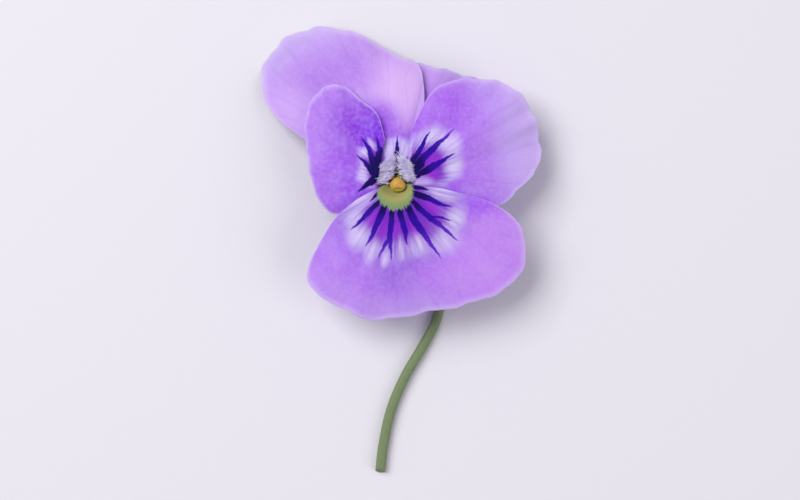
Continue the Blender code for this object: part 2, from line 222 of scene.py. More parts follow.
def node(tree, kind, sockets=(), **settings):
    """Adds a shader node. Its sockets are filled by name, or in their order on the node."""
    made = tree.nodes.new(f"ShaderNode{kind}")
    for name, value in settings.items():
        setattr(made, name, value)
    free = {socket.name if isinstance(sockets, dict) else place: socket
            for place, socket in enumerate(s for s in made.inputs if s.enabled)}
    for key, value in sockets.items() if isinstance(sockets, dict) else enumerate(sockets):
        join(tree, free[key], value)
    return made


def mesh_from(name, bm):
    mesh = bpy.data.meshes.new(name)
    bm.to_mesh(mesh)
    bm.free()
    return mesh


def show(name, data):
    """Adds an object to the scene."""
    thing = bpy.data.objects.new(name, data)
    bpy.context.scene.collection.objects.link(thing)
    return thing


def finish(name, bm, materials, levels=0):
    """Turns a bmesh in millimetres into a piece in metres round the throat's axis."""
    bmesh.ops.recalc_face_normals(bm, faces=bm.faces[:])
    bmesh.ops.transform(bm, matrix=Matrix.Translation(THROAT) @ Matrix.Scale(MM, 4),
                        verts=bm.verts[:])
    mesh = mesh_from(name, bm)
    mesh.shade_smooth()
    for material in materials:
        mesh.materials.append(material)
    piece = show(name, mesh)
    if levels:
        smooth = piece.modifiers.new("smooth", "SUBSURF")
        smooth.levels = levels
        smooth.render_levels = levels
    return piece


def lay_map(faces, uv):
    """Writes the place on a flat grid from -0.5 to 0.5 to a map, before the grid is shaped."""
    for face in faces:
        for loop in face.loops:
            loop[uv].uv = (loop.vert.co.x + 0.5, loop.vert.co.y + 0.5)


def double_sheet(bm, across, along, map_name=None):
    """A grid and its copy behind it, joined at the rim. Gives all its vertices and the copy's."""
    uv = bm.loops.layers.uv.new(map_name) if map_name else None
    before = set(bm.verts)
    bmesh.ops.create_grid(bm, x_segments=across, y_segments=along, size=0.5)
    faces = [face for face in bm.faces if before.isdisjoint(face.verts)]
    made = bmesh.ops.extrude_face_region(bm, geom=faces)
    if map_name:
        lay_map(bm.faces, uv)
    backs = {piece for piece in made["geom"] if isinstance(piece, bmesh.types.BMVert)}
    return [vert for vert in bm.verts if vert not in before], backs


def petal_surface(spec, sizes):
    """Middle of a petal as a grid of points, with how far out on the blade each one is."""
    u = np.linspace(0, 1, PETAL_ACROSS + 1)
    angles = np.radians([a for a, _ in spec["rim"]])
    reaches = np.array([r for _, r in spec["rim"]], dtype=float)
    longest = reaches.max()
    rim = smooth_line(np.column_stack([reaches * np.cos(angles), reaches * np.sin(angles)]),
                      PETAL_ACROSS + 1)
    notch = 1 + NOTCH_DEPTH * wave(u, NOTCHES, spec["phase"]) * np.sin(math.pi * u) ** 0.5
    rim = rim * notch[:, None]
    claw = np.radians(np.linspace(*spec["claw"], PETAL_ACROSS + 1))
    foot_radius, foot_height = spec.get("foot", CLAW_FOOT)
    foot = foot_radius * np.column_stack([np.cos(claw), np.sin(claw)])
    claw_rows = int(CLAW_SHARE * PETAL_ALONG)
    t = np.linspace(0, 1, PATH_STEPS)[:, None]
    plan = np.zeros((PETAL_ACROSS + 1, PETAL_ALONG + 1, 2))
    for column in range(PETAL_ACROSS + 1):
        end = rim[column]
        reach = np.linalg.norm(end)
        bend = foot[column] * (1 + ELBOW * min(1.0, reach / longest))
        path = (1 - t) ** 2 * foot[column] + 2 * t * (1 - t) * bend + t ** 2 * end
        rows = np.concatenate([np.linspace(foot_radius, CLAW_END, claw_rows + 1),
                               np.linspace(CLAW_END, reach, PETAL_ALONG - claw_rows + 1)[1:]])
        radii = np.linalg.norm(path, axis=1)
        for k in (0, 1):
            plan[column, :, k] = np.interp(rows, radii, path[:, k])
    radius = np.linalg.norm(plan, axis=2)
    top = FACE_HEIGHT - spec["layer"] * LAYER
    lip = LIP + spec["layer"] * LIP_STEP
    across = u[:, None]
    out = np.maximum(0.0, (radius - lip) / (longest - lip))
    climb = ease((radius - foot_radius) / (lip - foot_radius))
    rise = foot_height + (top - foot_height) * climb
    hold = spec.get("hold", 0.0)
    turned = ease((across - hold) / (1 - hold))
    fall = spec["fall"][0] + (spec["fall"][1] - spec["fall"][0]) * turned
    high = rise - fall * out ** spec.get("fall_shape", FALL_SHAPE)
    high += spec["wave_height"] * out ** 2 * wave(across, (spec["waves"],), spec["phase"] / 1.7)
    high -= spec["cup"] * (2 * across - 1) ** 2 * out
    high += PLEAT_HEIGHT * out ** PLEAT_GROWTH * wave(across, PLEATS, spec["phase"])
    high += sizes.ruffle / MM * out ** RUFFLE_GROWTH * wave(across, RUFFLES, spec["phase"])
    high = np.maximum(high, sizes.petal_thickness / MM / 2)
    return np.dstack([plan, high]), out


def surface_normals(points):
    """Unit normals of a grid of points, turned to the side that faces up."""
    du = np.gradient(points, axis=0)
    dv = np.gradient(points, axis=1)
    normals = np.cross(du, dv)
    normals /= np.linalg.norm(normals, axis=2, keepdims=True)
    if normals[:, :, 2].mean() < 0:
        normals = -normals
    return normals


def petal_veins(u, v, out):
    """Height of the veins' relief, 0 to 1. They wander a little and fork on their way out."""
    place = u + sum(size * np.sin(across * u + along * v) for size, across, along in VEIN_DRIFT)
    relief = np.zeros(out.shape)
    for count, start in zip(VEINS, VEIN_FORKS):
        line = np.abs(np.sin(math.pi * count * place))
        ridge = np.clip(1 - line / VEIN_RIDGE, 0, 1) ** 2
        relief = np.maximum(relief, ridge * ease((out - start) / VEIN_FADE))
    return relief * (1 - ease((out - (1 - VEIN_FADE)) / VEIN_FADE))


def petal_piece(name, spec, sizes, materials):
    """A petal as a doubled sheet that thins to its rim, with the veins raised on its back."""
    points, out = petal_surface(spec, sizes)
    normals = surface_normals(points)
    u = np.linspace(0, 1, PETAL_ACROSS + 1)[:, None]
    v = np.linspace(0, 1, PETAL_ALONG + 1)[None, :]
    veins = petal_veins(u, v, out)
    edge = np.maximum(ease((v - RIM_START) / (1 - RIM_START)),
                      ease((np.abs(2 * u - 1) - SIDE_START) / (1 - SIDE_START)))
    half = (sizes.petal_thickness + (sizes.rim_thickness - sizes.petal_thickness) * edge) / MM / 2
    rise = sizes.vein_relief / MM * veins
    front = points + normals * (half - FRONT_VEINS * rise)[:, :, None]
    back = points - normals * (half + rise)[:, :, None]
    bm = bmesh.new()
    verts, backs = double_sheet(bm, PETAL_ACROSS, PETAL_ALONG, "petal")
    for face in bm.faces:
        face.material_index = int(all(vert in backs for vert in face.verts))
    for vert in verts:
        i = int(round((vert.co.x + 0.5) * PETAL_ACROSS))
        j = int(round((vert.co.y + 0.5) * PETAL_ALONG))
        sheet = back if vert in backs else front
        vert.co = sheet[i, j]
        vert.co.z = max(vert.co.z, 0.0)
    return finish(name, bm, materials, levels=1)


# Petal colours. "bands" are (start, end, colour) round the throat. A patch is a soft oval in plan,
# (x, y, half width, half height, blur, share, colour); one patch is painted shadow and one is a
# painted highlight. Flushes and spots are the magenta and the nearly white ovals between the
# whiskers, (x, y, half length, half width), long side to the throat.
PETAL_LOOKS = {
    "petal_lower": {
        "first": "9a62e4",
        "bands": ((11.5, 15.5, "ae74ee"), (15.0, 19.0, "b67bf0"), (19.0, 24.0, "bd8cf2")),
        "patches": ((19, -15, 10, 10, 1.4, 0.8, "cc8efc"),
                    (-0.3, -16.4, 3.4, 4.2, 1.4, 0.6, "9560de"),
                    # The violet oval at (14.5, -3.6) is painted shadow of the right side petal's
                    # edge.
                    (14.5, -3.6, 5, 2.6, 1.4, 0.7, "a858f8"), (5, -26, 9, 4, 1.4, 0.5, "b9a3f0")),
        "pale": (0.7, -4.4, 11.3, 10.0), "glow": (1.2, -4.6, 8.4, 7.4),
        "flushes": ((-4.4, -7.0, 1.6, 0.6), (-2.4, -9.0, 1.8, 0.6), (0.3, -8.8, 1.6, 0.6),
                    (3.3, -9.0, 1.6, 0.7), (6.6, -4.5, 1.6, 0.7), (7.9, -6.5, 1.0, 0.5)),
        "spots": ((-6.2, -3.4, 2.6, 1.3), (-7.6, -6.6, 1.7, 1.0), (-7.1, -10.3, 2.0, 1.9),
                  (-4.6, -13.1, 2.0, 1.0), (-2.0, -14.5, 1.3, 0.7), (1.0, -12.4, 1.8, 0.7),
                  (4.0, -11.5, 1.7, 1.5), (9.5, -10.9, 1.9, 2.3), (11.2, -6.7, 1.5, 2.0),
                  (8.4, -1.7, 2.6, 1.6)),
    },
    "petal_side_right": {
        "first": "a259ea",
        "bands": ((10.0, 14.0, "ae72ec"), (14.0, 18.0, "b377ee"), (18.0, 23.0, "b98df0"),
                  (23.0, 27.0, "c3a2ee")),
        "patches": ((8.5, 14.0, 6, 5, 1.4, 0.6, "a95bf0"), (25, 7, 6, 9, 1.4, 0.8, "ccb2f4")),
        "pale": (6.5, 4.2, 5.8, 5.5), "glow": (5.8, 3.3, 4.2, 3.6),
        "flushes": ((7.0, 4.1, 1.6, 0.8), (6.6, 1.3, 1.2, 0.8)),
        "spots": ((10.7, 3.0, 1.5, 2.1), (10.2, 7.3, 2.0, 1.6), (7.2, 9.0, 1.8, 1.3),
                  (5.0, 7.3, 1.7, 0.4), (4.9, 0.2, 1.6, 0.7), (2.1, 5.4, 1.6, 0.6)),
    },
    "petal_side_left": {
        "first": "9a52e6",
        "bands": ((9.0, 13.0, "a868e9"), (13.0, 18.0, "b57fed")),
        "patches": ((-5.0, 11.0, 6.4, 6.0, 1.5, 0.9, "8426d6"),
                    (-4.4, 10.0, 2.6, 2.6, 1.5, 0.8, "7812e4")),
        "pale": (-4.5, 3.2, 2.3, 4.4), "glow": (-3.6, 3.2, 2.1, 3.6),
        "spots": ((-6.2, 1.4, 1.0, 1.4), (-5.9, 5.4, 1.4, 0.6), (-4.5, 7.2, 1.2, 0.4)),
    },
    "petal_upper_left": {
        "first": "9a50e6",
        "bands": ((8.5, 12.0, "c07cef"), (12.0, 16.0, "c899ef"), (20.0, 26.0, "be94ea"),
                  (28.0, 34.0, "c6a8f1")),
        # The pale pink oval at (0.3, 17) is a painted highlight at the upper petals' base.
        "patches": ((0.3, 17.0, 6, 6.5, 1.4, 0.9, "e0baf8"),
                    (-11.5, 20, 7, 6.5, 1.4, 0.7, "ae78e4"),
                    (-21.5, 13.5, 6, 5, 1.4, 0.6, "d3adf7"), (-16, 30, 8, 5, 1.4, 0.3, "cfb6f4"),
                    (-3.4, 11.0, 3.6, 4.0, 1.5, 0.9, "9038e0")),
        "pale": (0.2, 5.6, 2.6, 3.0), "glow": (0.2, 4.2, 0.9, 1.6),
        "spots": ((-1.2, 5.4, 2.2, 0.8), (1.6, 6.0, 2.0, 0.8)),
    },
    "petal_upper_right": {
        "first": "9a50e6",
        "bands": ((8.5, 12.0, "b86aee"), (12.0, 17.0, "c086f0"), (17.0, 21.0, "cba0f5")),
        "pale": (1.6, 5.6, 2.4, 3.0), "glow": (1.0, 4.2, 0.9, 1.6),
        "spots": ((2.6, 6.2, 2.0, 1.0),),
    },
}
# The eye on the lower petal and its yellower heart, as ovals like the pale zone.
EYE = (-0.1, -1.9, 3.3, 3.25)
EYE_HEART = (0.0, -1.2, 2.8, 2.6)
EYE_BLUR = 0.16
HEART_BLUR = 0.9
ZONE_BLURS = {"pale": 0.34, "glow": 0.6, "dusk": 1.6}
ZONE_SHARES = {"pale": 0.75, "glow": 0.85, "dusk": 0.75}
OVAL_BLUR = 1.6         # of flushes and spots
OVAL_SHARES = {"flushes": 0.6, "spots": 0.85}
VEIN_LINES = (0.17, 0.11)       # width and share of the veins drawn on a petal's face
BACK_VEIN_LINES = (0.3, 0.4)
VEIN_LINE_FADE = 0.15   # share of a petal's length over which a line begins
MARGIN_START = 0.95     # share of a petal's length where its thin margin starts
MARGIN_SHARES = (0.55, 0.5)     # on the face and on the back
STREAKS = 15.0          # noise scale of the streaks, per radian round the throat
STREAK_DRIFT = 0.12     # and per mm outwards, so that each is about 8 mm long
STREAK_REACHES = (4.0, 0.6, 0.7)  # what streaks add to bands in mm, and to ovals and eye in sizes
HATCH = (0.35, 0.6, 0.45, 1.0)  # two strengths of streak, and what each leaves of an oval
WARPS = ((0.35, 0.7), (1.7, 0.28))  # (scale per mm, reach in mm) of the markings' uneven outlines
# Pale clouds of about 5 mm and a powder of about 1 mm: (scale per mm, detail, from, to).
GRAINS = ((0.22, 3.0, 0.4, 0.7), (1.2, 5.0, 0.42, 0.68))
GRAIN_SHARE = 0.2
INK_RINGS = ((5.5, 8.0), (9.0, 14.0))  # radii where whiskers turn to their next colour
CELL_SCALE = 4.0        # velvet cells per mm, drawn larger than the real 0.05 mm so that they show
CELL_RISE = -0.35       # the cells' and the veins' rise, as shares of the relief's depth
VEIN_RISES = (-0.4, 0.5)    # on the face and on the back
VELVET_RELIEF = (0.35, 0.00008)     # strength, and depth in metres
VELVET_ROUGH = (0.48, 0.66)
BACK_FLUSH = (19.0, 5.0, 0.0, 0.7)  # (radius without it, radius with it, least, most)
CLAW_GREEN = (6.0, 3.4)     # radii without it and with it
SOFT = {"interpolation_type": "SMOOTHSTEP"}     # for a mask with gentle ends


def new_material(name, rough, soft=0.0, sheen=0.0, gloss=0.5):
    """A material with one Principled shader, whose sheen and soft light are constants."""
    material = bpy.data.materials.new(name)
    material.use_nodes = True
    surface = material.node_tree.nodes["Principled BSDF"]
    for socket, value in (
        ("Roughness", rough), ("Specular IOR Level", gloss),
        ("Sheen Weight", sheen), ("Sheen Roughness", 0.4),
        ("Subsurface Weight", soft), ("Subsurface Radius", (0.6, 0.35, 0.8)),
        ("Subsurface Scale", MM),
    ):
        surface.inputs[socket].default_value = value
    return material, material.node_tree, surface


def layered(tree, colour, layers):
    """Lays colours over a first one. A layer is (mask, how much of it shows, colour)."""
    for mask, share, above in layers:
        if share < 1:
            mask = node(tree, "Math", (mask, share), operation="MULTIPLY")
        colour = node(tree, "Mix", (mask, colour, above), data_type="RGBA")
    return colour


def coat(tree, surface, colour, height, strength, depth):
    """Gives a surface its colour and raises it by a pattern, whose depth is in metres."""
    bump = node(tree, "Bump", {"Height": height, "Strength": strength, "Distance": depth})
    join(tree, surface.inputs["Base Color"], colour)
    join(tree, surface.inputs["Normal"], bump)


def plan_position(tree):
    """Position in millimetres from the throat's axis."""
    place = node(tree, "TexCoord").outputs["Object"]
    return node(tree, "Mapping", {
        "Vector": place, "Location": tuple(-c / MM for c in THROAT), "Scale": (1 / MM,) * 3})


def flat_position(tree, plan):
    """The same without the height, and the distance from the axis."""
    flat = node(tree, "VectorMath", (plan, (1, 1, 0)), operation="MULTIPLY")
    return flat, node(tree, "VectorMath", (flat,), operation="LENGTH")


def own_map(tree, name):
    """Places across a piece, X, and along it, Y, on its own map from 0 to 1."""
    place = node(tree, "UVMap", uv_map=name)
    return node(tree, "SeparateXYZ", (place,)).outputs


def ripples(tree, place, count):
    """Waves across a map, 0 on each line and 1 between two, with count of them to its width."""
    wave_at = node(tree, "Math", (place, math.pi * count), operation="MULTIPLY")
    for step in ("SINE", "ABSOLUTE"):
        wave_at = node(tree, "Math", (wave_at,), operation=step)
    return wave_at


def whisker_group():
    """Mask of one length of a whisker, round at its ends. Its place is in mm along and across."""
    group = bpy.data.node_groups.new("whisker", "ShaderNodeTree")
    group.interface.new_socket("Place", in_out="INPUT", socket_type="NodeSocketVector")
    for name in ("Length", "Start", "End"):
        group.interface.new_socket(name, in_out="INPUT", socket_type="NodeSocketFloat")
    group.interface.new_socket("Mask", in_out="OUTPUT", socket_type="NodeSocketFloat")
    given = group.nodes.new("NodeGroupInput").outputs
    place = node(group, "SeparateXYZ", (given["Place"],))
    along = node(group, "Clamp", {"Value": place.outputs["X"], "Max": given["Length"]})
    past = node(group, "Math", (place.outputs["X"], along), operation="SUBTRACT")
    off = node(group, "CombineXYZ", {"X": past, "Y": place.outputs["Y"]})
    off = node(group, "VectorMath", (off,), operation="LENGTH")
    half = node(group, "MapRange", (along, 0.0, given["Length"], given["Start"], given["End"]))
    edge = node(group, "Math", (off, half), operation="SUBTRACT")
    mask = node(group, "MapRange", (edge, WHISKER_BLUR, -WHISKER_BLUR), **SOFT)
    join(group, group.nodes.new("NodeGroupOutput").inputs["Mask"], mask)
    return group


def whisker_mask(tree, plan, whiskers):
    """Mask of all the whiskers on one petal."""
    shape = bpy.data.node_groups.get("whisker") or whisker_group()
    mask = 0.0
    for row in whiskers:
        for (x, y, start), (next_x, next_y, end) in zip(row, row[1:]):
            run = Vector((next_x - x, next_y - y))
            turn = math.atan2(run.y, run.x)
            place = node(tree, "Mapping", (plan, (x, y, 0), (0, 0, turn)), vector_type="TEXTURE")
            one = node(tree, "Group", (place, run.length, start, end), node_tree=shape)
            mask = node(tree, "Math", (mask, one), operation="MAXIMUM")
    return mask


def oval_mask(tree, plan, oval, blur, ragged=None, turn=0.0):
    """Mask of an oval in plan that fades over blur, a share of its size."""
    x, y, wide, tall = oval
    place = node(tree, "Mapping", (plan, (x, y, 0), (0, 0, turn), (wide, tall, 1)),
                 vector_type="TEXTURE")
    place = node(tree, "VectorMath", (place, (1, 1, 0)), operation="MULTIPLY")
    far = node(tree, "VectorMath", (place,), operation="LENGTH")
    if ragged:
        far = node(tree, "Math", (far, ragged), operation="ADD")
    return node(tree, "MapRange", (far, 1 + blur / 2, 1 - blur / 2), **SOFT)


def vein_mask(tree, width):
    """Thin lines along a petal's own map, over the veins of its mesh."""
    own = node(tree, "UVMap", uv_map="petal")
    split = node(tree, "SeparateXYZ", (own,))
    place = split.outputs["X"]
    for size, across, along in VEIN_DRIFT:
        swing = node(tree, "VectorMath", (own, (across, along, 0)), operation="DOT_PRODUCT")
        swing = node(tree, "Math", (swing,), operation="SINE")
        place = node(tree, "Math", (swing, size, place), operation="MULTIPLY_ADD")
    mask = 0.0
    for count, start in zip(VEINS, VEIN_FORKS):
        line = node(tree, "MapRange", (ripples(tree, place, count), width, 0.0), **SOFT)
        at = CLAW_SHARE + (1 - CLAW_SHARE) * start
        begun = node(tree, "MapRange", (split.outputs["Y"], at, at + VEIN_LINE_FADE), **SOFT)
        line = node(tree, "Math", (line, begun), operation="MULTIPLY")
        mask = node(tree, "Math", (mask, line), operation="MAXIMUM")
    return mask


def margin_mask(tree):
    """The petal's thin margin, from its own map."""
    return node(tree, "MapRange", (own_map(tree, "petal")["Y"], MARGIN_START, 1.0), **SOFT)


def petal_front(name, look, colours):
    """Pansy petal, upper side: cells like tiny cones, which give the eye a velvet nap."""
    material, tree, surface = new_material(f"{name}_velvet_face", 0.6, soft=0.1, gloss=0.1)
    plan = plan_position(tree)
    flat, radius = flat_position(tree, plan)
    heading = node(tree, "VectorMath", (flat,), operation="NORMALIZE")
    fan = node(tree, "VectorMath", (heading, (STREAKS,) * 3), operation="MULTIPLY")
    fan = node(tree, "VectorMath", (flat, (STREAK_DRIFT,) * 3, fan), operation="MULTIPLY_ADD")
    streaks = node(tree, "TexNoise", (fan, 1.0, 4.0))
    hatch = node(tree, "MapRange", (streaks, *HATCH))
    wander, ragged, fringe = (
        node(tree, "Math", (streaks, reach, -reach / 2), operation="MULTIPLY_ADD")
        for reach in STREAK_REACHES)
    spread = node(tree, "Math", (radius, wander), operation="ADD")
    warped = flat
    for scale, reach in WARPS:
        drift = node(tree, "TexNoise", (flat, scale, 1.0))
        drift = node(tree, "VectorMath", (drift.outputs["Color"], (reach, reach, 0),
                                          (-reach / 2, -reach / 2, 0)), operation="MULTIPLY_ADD")
        warped = node(tree, "VectorMath", (drift, warped), operation="ADD")

    def rings(at, steps):
        """Masks that begin at each of the steps' two radii, with the step's colour."""
        found = []
        for start, end, above in steps:
            found.append((node(tree, "MapRange", (at, start, end), **SOFT), 1, above))
        return found

    def zone(kind, above, oval):
        mask = oval_mask(tree, warped, oval, ZONE_BLURS[kind], ragged)
        if kind == "pale":
            mask = node(tree, "Math", (mask, hatch), operation="MULTIPLY")
        return mask, ZONE_SHARES[kind], above

    layers = rings(spread, [(*ends, linear(code)) for *ends, code in look["bands"]])
    for *oval, blur, share, code in look.get("patches", ()):
        layers.append((oval_mask(tree, warped, oval, blur), share, linear(code)))
    for scale, detail, low, high in GRAINS:
        grain = node(tree, "TexNoise", (flat, scale, detail))
        mask = node(tree, "MapRange", (grain, low, high, 0.0, GRAIN_SHARE))
        layers.append((mask, 1, colours.bloom_light))
    width, share = VEIN_LINES
    lines = vein_mask(tree, width)
    layers += [
        (lines, share, colours.vein),
        zone("pale", colours.pale_zone, look["pale"]),
        zone("glow", colours.glow, look["glow"]),
        zone("dusk", colours.dusk, look["glow"]),
    ]
    for kind, above in (("flushes", colours.flush), ("spots", colours.spot)):
        for oval in look.get(kind, ()):
            turn = math.atan2(oval[1], oval[0])
            mask = oval_mask(tree, warped, oval, OVAL_BLUR, ragged, turn)
            mask = node(tree, "Math", (mask, hatch), operation="MULTIPLY")
            layers.append((mask, OVAL_SHARES[kind], above))
    inks = (colours.whisker, colours.whisker_tip)
    ink = layered(tree, colours.whisker_root,
                  rings(radius, [(*ends, code) for ends, code in zip(INK_RINGS, inks)]))
    heart = oval_mask(tree, flat, EYE_HEART, HEART_BLUR)
    layers += [
        (whisker_mask(tree, warped, WHISKERS[name]), 1, ink),
        (oval_mask(tree, flat, EYE, EYE_BLUR, fringe), 1,
         layered(tree, colours.eye, [(heart, 1, colours.eye_heart)])),
        (margin_mask(tree), MARGIN_SHARES[0], colours.margin),
    ]
    colour = layered(tree, linear(look["first"]), layers)
    velvet(tree, surface, plan, colour, lines, VEIN_RISES[0])
    return material


def velvet(tree, surface, plan, colour, lines, vein_rise):
    """Colour, with the relief and the uneven gloss of the velvet cells and the veins."""
    cells = node(tree, "TexVoronoi", {"Vector": plan, "Scale": CELL_SCALE}, feature="SMOOTH_F1")
    grain = node(tree, "TexNoise", (plan, 2.0, 4.0))
    height = grain
    for pattern, rise in ((cells.outputs["Distance"], CELL_RISE), (lines, vein_rise)):
        height = node(tree, "Math", (pattern, rise, height), operation="MULTIPLY_ADD")
    coat(tree, surface, colour, height, *VELVET_RELIEF)
    rough = node(tree, "MapRange", (grain, 0.0, 1.0, *VELVET_ROUGH))
    join(tree, surface.inputs["Roughness"], rough)


def petal_back(colours):
    """Pansy petal, underside: smoother and paler, with the veins raised and darker."""
    material, tree, surface = new_material("petal_veined_back", 0.6, soft=0.2, sheen=0.04,
                                           gloss=0.25)
    plan = plan_position(tree)
    _, radius = flat_position(tree, plan)
    width, share = BACK_VEIN_LINES
    lines = vein_mask(tree, width)
    flush = node(tree, "MapRange", (radius, *BACK_FLUSH), **SOFT)
    claw = node(tree, "MapRange", (radius, *CLAW_GREEN), **SOFT)
    colour = layered(tree, colours.back, (
        (flush, 1, colours.back_flush), (lines, share, colours.vein), (claw, 1, colours.claw),
        (margin_mask(tree), MARGIN_SHARES[1], colours.margin)))
    velvet(tree, surface, plan, colour, lines, VEIN_RISES[1])
    return material


# Sepals stand between the petals. Their middle line is (radius, height) from the tip of the ear
# behind the receptacle, past the foot, to the tip of the blade.
SEPAL_ANGLES = {
    "sepal_top": 90, "sepal_upper_left": 149, "sepal_upper_right": 32,
    "sepal_lower_left": 214, "sepal_lower_right": -34,
}
SEPAL_LINE_UPPER = ((3.6, 5.1), (2.85, 6.2), (2.55, 7.3), (3.3, 8.25), (5.2, 8.75), (8, 8.1),
                    (10.5, 7.0), (12.6, 5.8))
SEPAL_LINE_LOWER = ((3.6, 5.1), (2.85, 6.2), (2.55, 7.3), (3.3, 8.5), (5.2, 9.5), (8, 9.8),
                    (10.5, 9.5), (12.6, 8.8))
SEPAL_WIDTHS = (1.5, 2.3, 1.9, 2.2, 3.1, 3.0, 2.0, 0.5)
SEPAL_ACROSS = 20
SEPAL_ALONG = 64
SEPAL_THICKNESS = 0.4
SEPAL_KEEL = 0.35
SEPAL_RIBS = 5
EAR_SHARE = 0.16        # share of a sepal's length that is its ear
EAR_TEETH = 3
SEPAL_LEAST = 0.3       # least width
SEPAL_THINNING = 0.6    # share of the thickness that is gone at the edge
RIB_HEIGHT = 0.04
TOOTH_DEPTH = 0.25


def sepal_piece(name, angle, line, material):
    """A leafy blade with a keel, parallel ribs and a toothed ear."""
    middle = smooth_line(line, SEPAL_ALONG + 1)
    widths = smooth_line(list(enumerate(SEPAL_WIDTHS)), SEPAL_ALONG + 1)[:, 1]
    turn = math.radians(angle)
    outward = Vector((math.cos(turn), math.sin(turn), 0))
    sideways = Vector((-math.sin(turn), math.cos(turn), 0))
    bm = bmesh.new()
    verts, backs = double_sheet(bm, SEPAL_ACROSS, SEPAL_ALONG, "sepal")
    for vert in verts:
        row = int(round((vert.co.y + 0.5) * SEPAL_ALONG))
        side = vert.co.x
        radius, height = middle[row]
        run, climb = middle[min(row + 1, SEPAL_ALONG)] - middle[max(row - 1, 0)]
        steep = math.hypot(run, climb)
        width = max(float(widths[row]), SEPAL_LEAST)
        edge = abs(2 * side)
        ear = 1 - float(ease(row / SEPAL_ALONG / EAR_SHARE))
        tooth = TOOTH_DEPTH * ear * math.sin(math.pi * (2 * EAR_TEETH * side + 0.5))
        half = SEPAL_THICKNESS / 2 * (1 - SEPAL_THINNING * edge ** 3)
        rib = RIB_HEIGHT * abs(math.cos(math.pi * SEPAL_RIBS * side)) * (1 - edge)
        lift = -half - rib if vert in backs else half
        lift -= SEPAL_KEEL * (1 - edge) * min(1.0, width / 2)
        out = radius - (lift * climb - tooth * run) / steep
        spot = outward * out + sideways * side * width
        vert.co = spot + Vector((0, 0, height + (lift * run + tooth * climb) / steep))
    return finish(name, bm, [material], levels=1)


def sepal_green(colours):
    """Pansy sepal: a waxy green leaf, flushed indigo at its margins and tip."""
    material, tree, surface = new_material("sepal_waxy_leaf", 0.5, soft=0.1, sheen=0.1)
    own = own_map(tree, "sepal")
    ribs = node(tree, "MapRange", (ripples(tree, own["X"], SEPAL_RIBS), 0.8, 1.0, 0.0, 0.5))
    off_keel = node(tree, "Math", (own["X"], 0.5), operation="SUBTRACT")
    off_keel = node(tree, "Math", (off_keel,), operation="ABSOLUTE")
    margin = node(tree, "MapRange", (off_keel, 0.25, 0.5, 0.0, 0.8), **SOFT)
    tip = node(tree, "MapRange", (own["Y"], 0.55, 1.0, 0.0, 0.85), **SOFT)
    grain = node(tree, "TexNoise", (plan_position(tree), 1.6, 4.0))
    specks = node(tree, "MapRange", (grain, 0.4, 0.7, 0.0, 0.4))
    colour = layered(tree, colours.sepal, (
        (ribs, 1, colours.sepal_rib), (specks, 1, colours.stalk),
        (margin, 1, colours.sepal_flush), (tip, 1, colours.sepal_flush)))
    coat(tree, surface, colour, grain, 0.4, 0.0001)
    return material


# The stalk's route is (x, y, height), from inside the receptacle to its cut end.
STALK_ROUTE = ((0, 0, 8.3), (0, 0.5, 6.6), (0, 1.15, 4.7), (0, 0.7, 2.85), (0.05, -0.6, 1.55),
               (0.4, -2.5, 1.0), (2.6, -7.5, 1.0), (6.4, -13.5, 1.0), (8.5, -19.5, 1.0),
               (7.9, -25.5, 1.0), (5.2, -31, 1.0), (1.7, -37, 1.0), (-1.0, -43.5, 1.0),
               (-2.5, -50.5, 1.0), (-3.0, -55, 1.0))
STALK_HALF = 1.0
STALK_RINGS = 170
STALK_SIDES = 28
STALK_AHEAD = 20        # rings ahead that the stalk's level side is taken from
STALK_RIDGES = 5
RIDGE_HEIGHT = 0.07
CUT_SLANT = 25.0
RECEPTACLE_ROWS = ((0.0, 6.0), (0.8, 6.05), (1.3, 6.6), (2.0, 7.3), (2.15, 7.8), (2.12, 9.0),
                   (1.95, 9.28), (1.5, 9.32), (0.0, 9.3))
BRACT_PLACE = 0.45
BRACT_LENGTH = 3.2
BRACT_SPREAD = 1.25
BRACT_HALF = 0.75       # half width
BRACT_LEAST = 0.04      # half width at the point
BRACT_THICK = 0.14      # half thickness at the foot
BRACT_CUP = 0.25
BRACT_FOOT = 0.72       # distance from the stalk's middle
BRACT_SWELL = (0.06, 0.02)  # height and length of the swelling that carries the bracts
NECK = (0.08, 0.3)      # how much slimmer the stalk is at the bloom, and along what share of it
STALK_TWIST = 2.0       # radians that the ridges turn from end to end
FIBRES = (26.0, 9.0, 1.0)   # noise scales round and along, for fibres of 0.25 by 8 mm
CAP_INSET = (0.22, -0.03)   # steps of the cut end's slight hollow
SPUR_LINE = ((-3.3, 10.3, 0.7), (-3.5, 8.8, 1.05), (-3.7, 7.2, 1.2), (-3.9, 5.7, 1.15),
             (-4.1, 4.5, 0.95), (-4.2, 3.95, 0.5))
SPUR_SIDES = 32
SPUR_ROUND = 0.86       # share of the spur's length where its end starts to round off
SPUR_CLOSE = 0.8
SPUR_GROOVE = 0.06


def tube(bm, centres, sides, upright, section, slant=0.0):
    """A capped tube along centres.

    upright holds each ring's side, and section(turn, share) gives its radius.
    """
    last = len(centres) - 1
    before = set(bm.verts)
    bmesh.ops.create_grid(bm, x_segments=sides, y_segments=last, size=0.5)
    rings = [vert for vert in bm.verts if vert not in before]
    uv = bm.loops.layers.uv.verify()
    lay_map({face for vert in rings for face in vert.link_faces}, uv)
    for vert in rings:
        turn = 2 * math.pi * (vert.co.x + 0.5)
        i = int(round((vert.co.y + 0.5) * last))
        along = Vector(centres[min(i + 1, last)] - centres[max(i - 1, 0)]).normalized()
        side = (upright[i] - along * upright[i].dot(along)).normalized()
        up = along.cross(side)
        radius = section(turn, i / last)
        cut = slant * max(0.0, 1 - (last - i) / 3)
        vert.co = (Vector(centres[i]) + side * radius * math.cos(turn)
                   + (up - along * cut) * radius * math.sin(turn))
    bmesh.ops.remove_doubles(bm, verts=rings, dist=0.0005)
    ends = [edge for edge in bm.edges if edge.is_boundary]
    return bmesh.ops.holes_fill(bm, edges=ends, sides=0)["faces"]


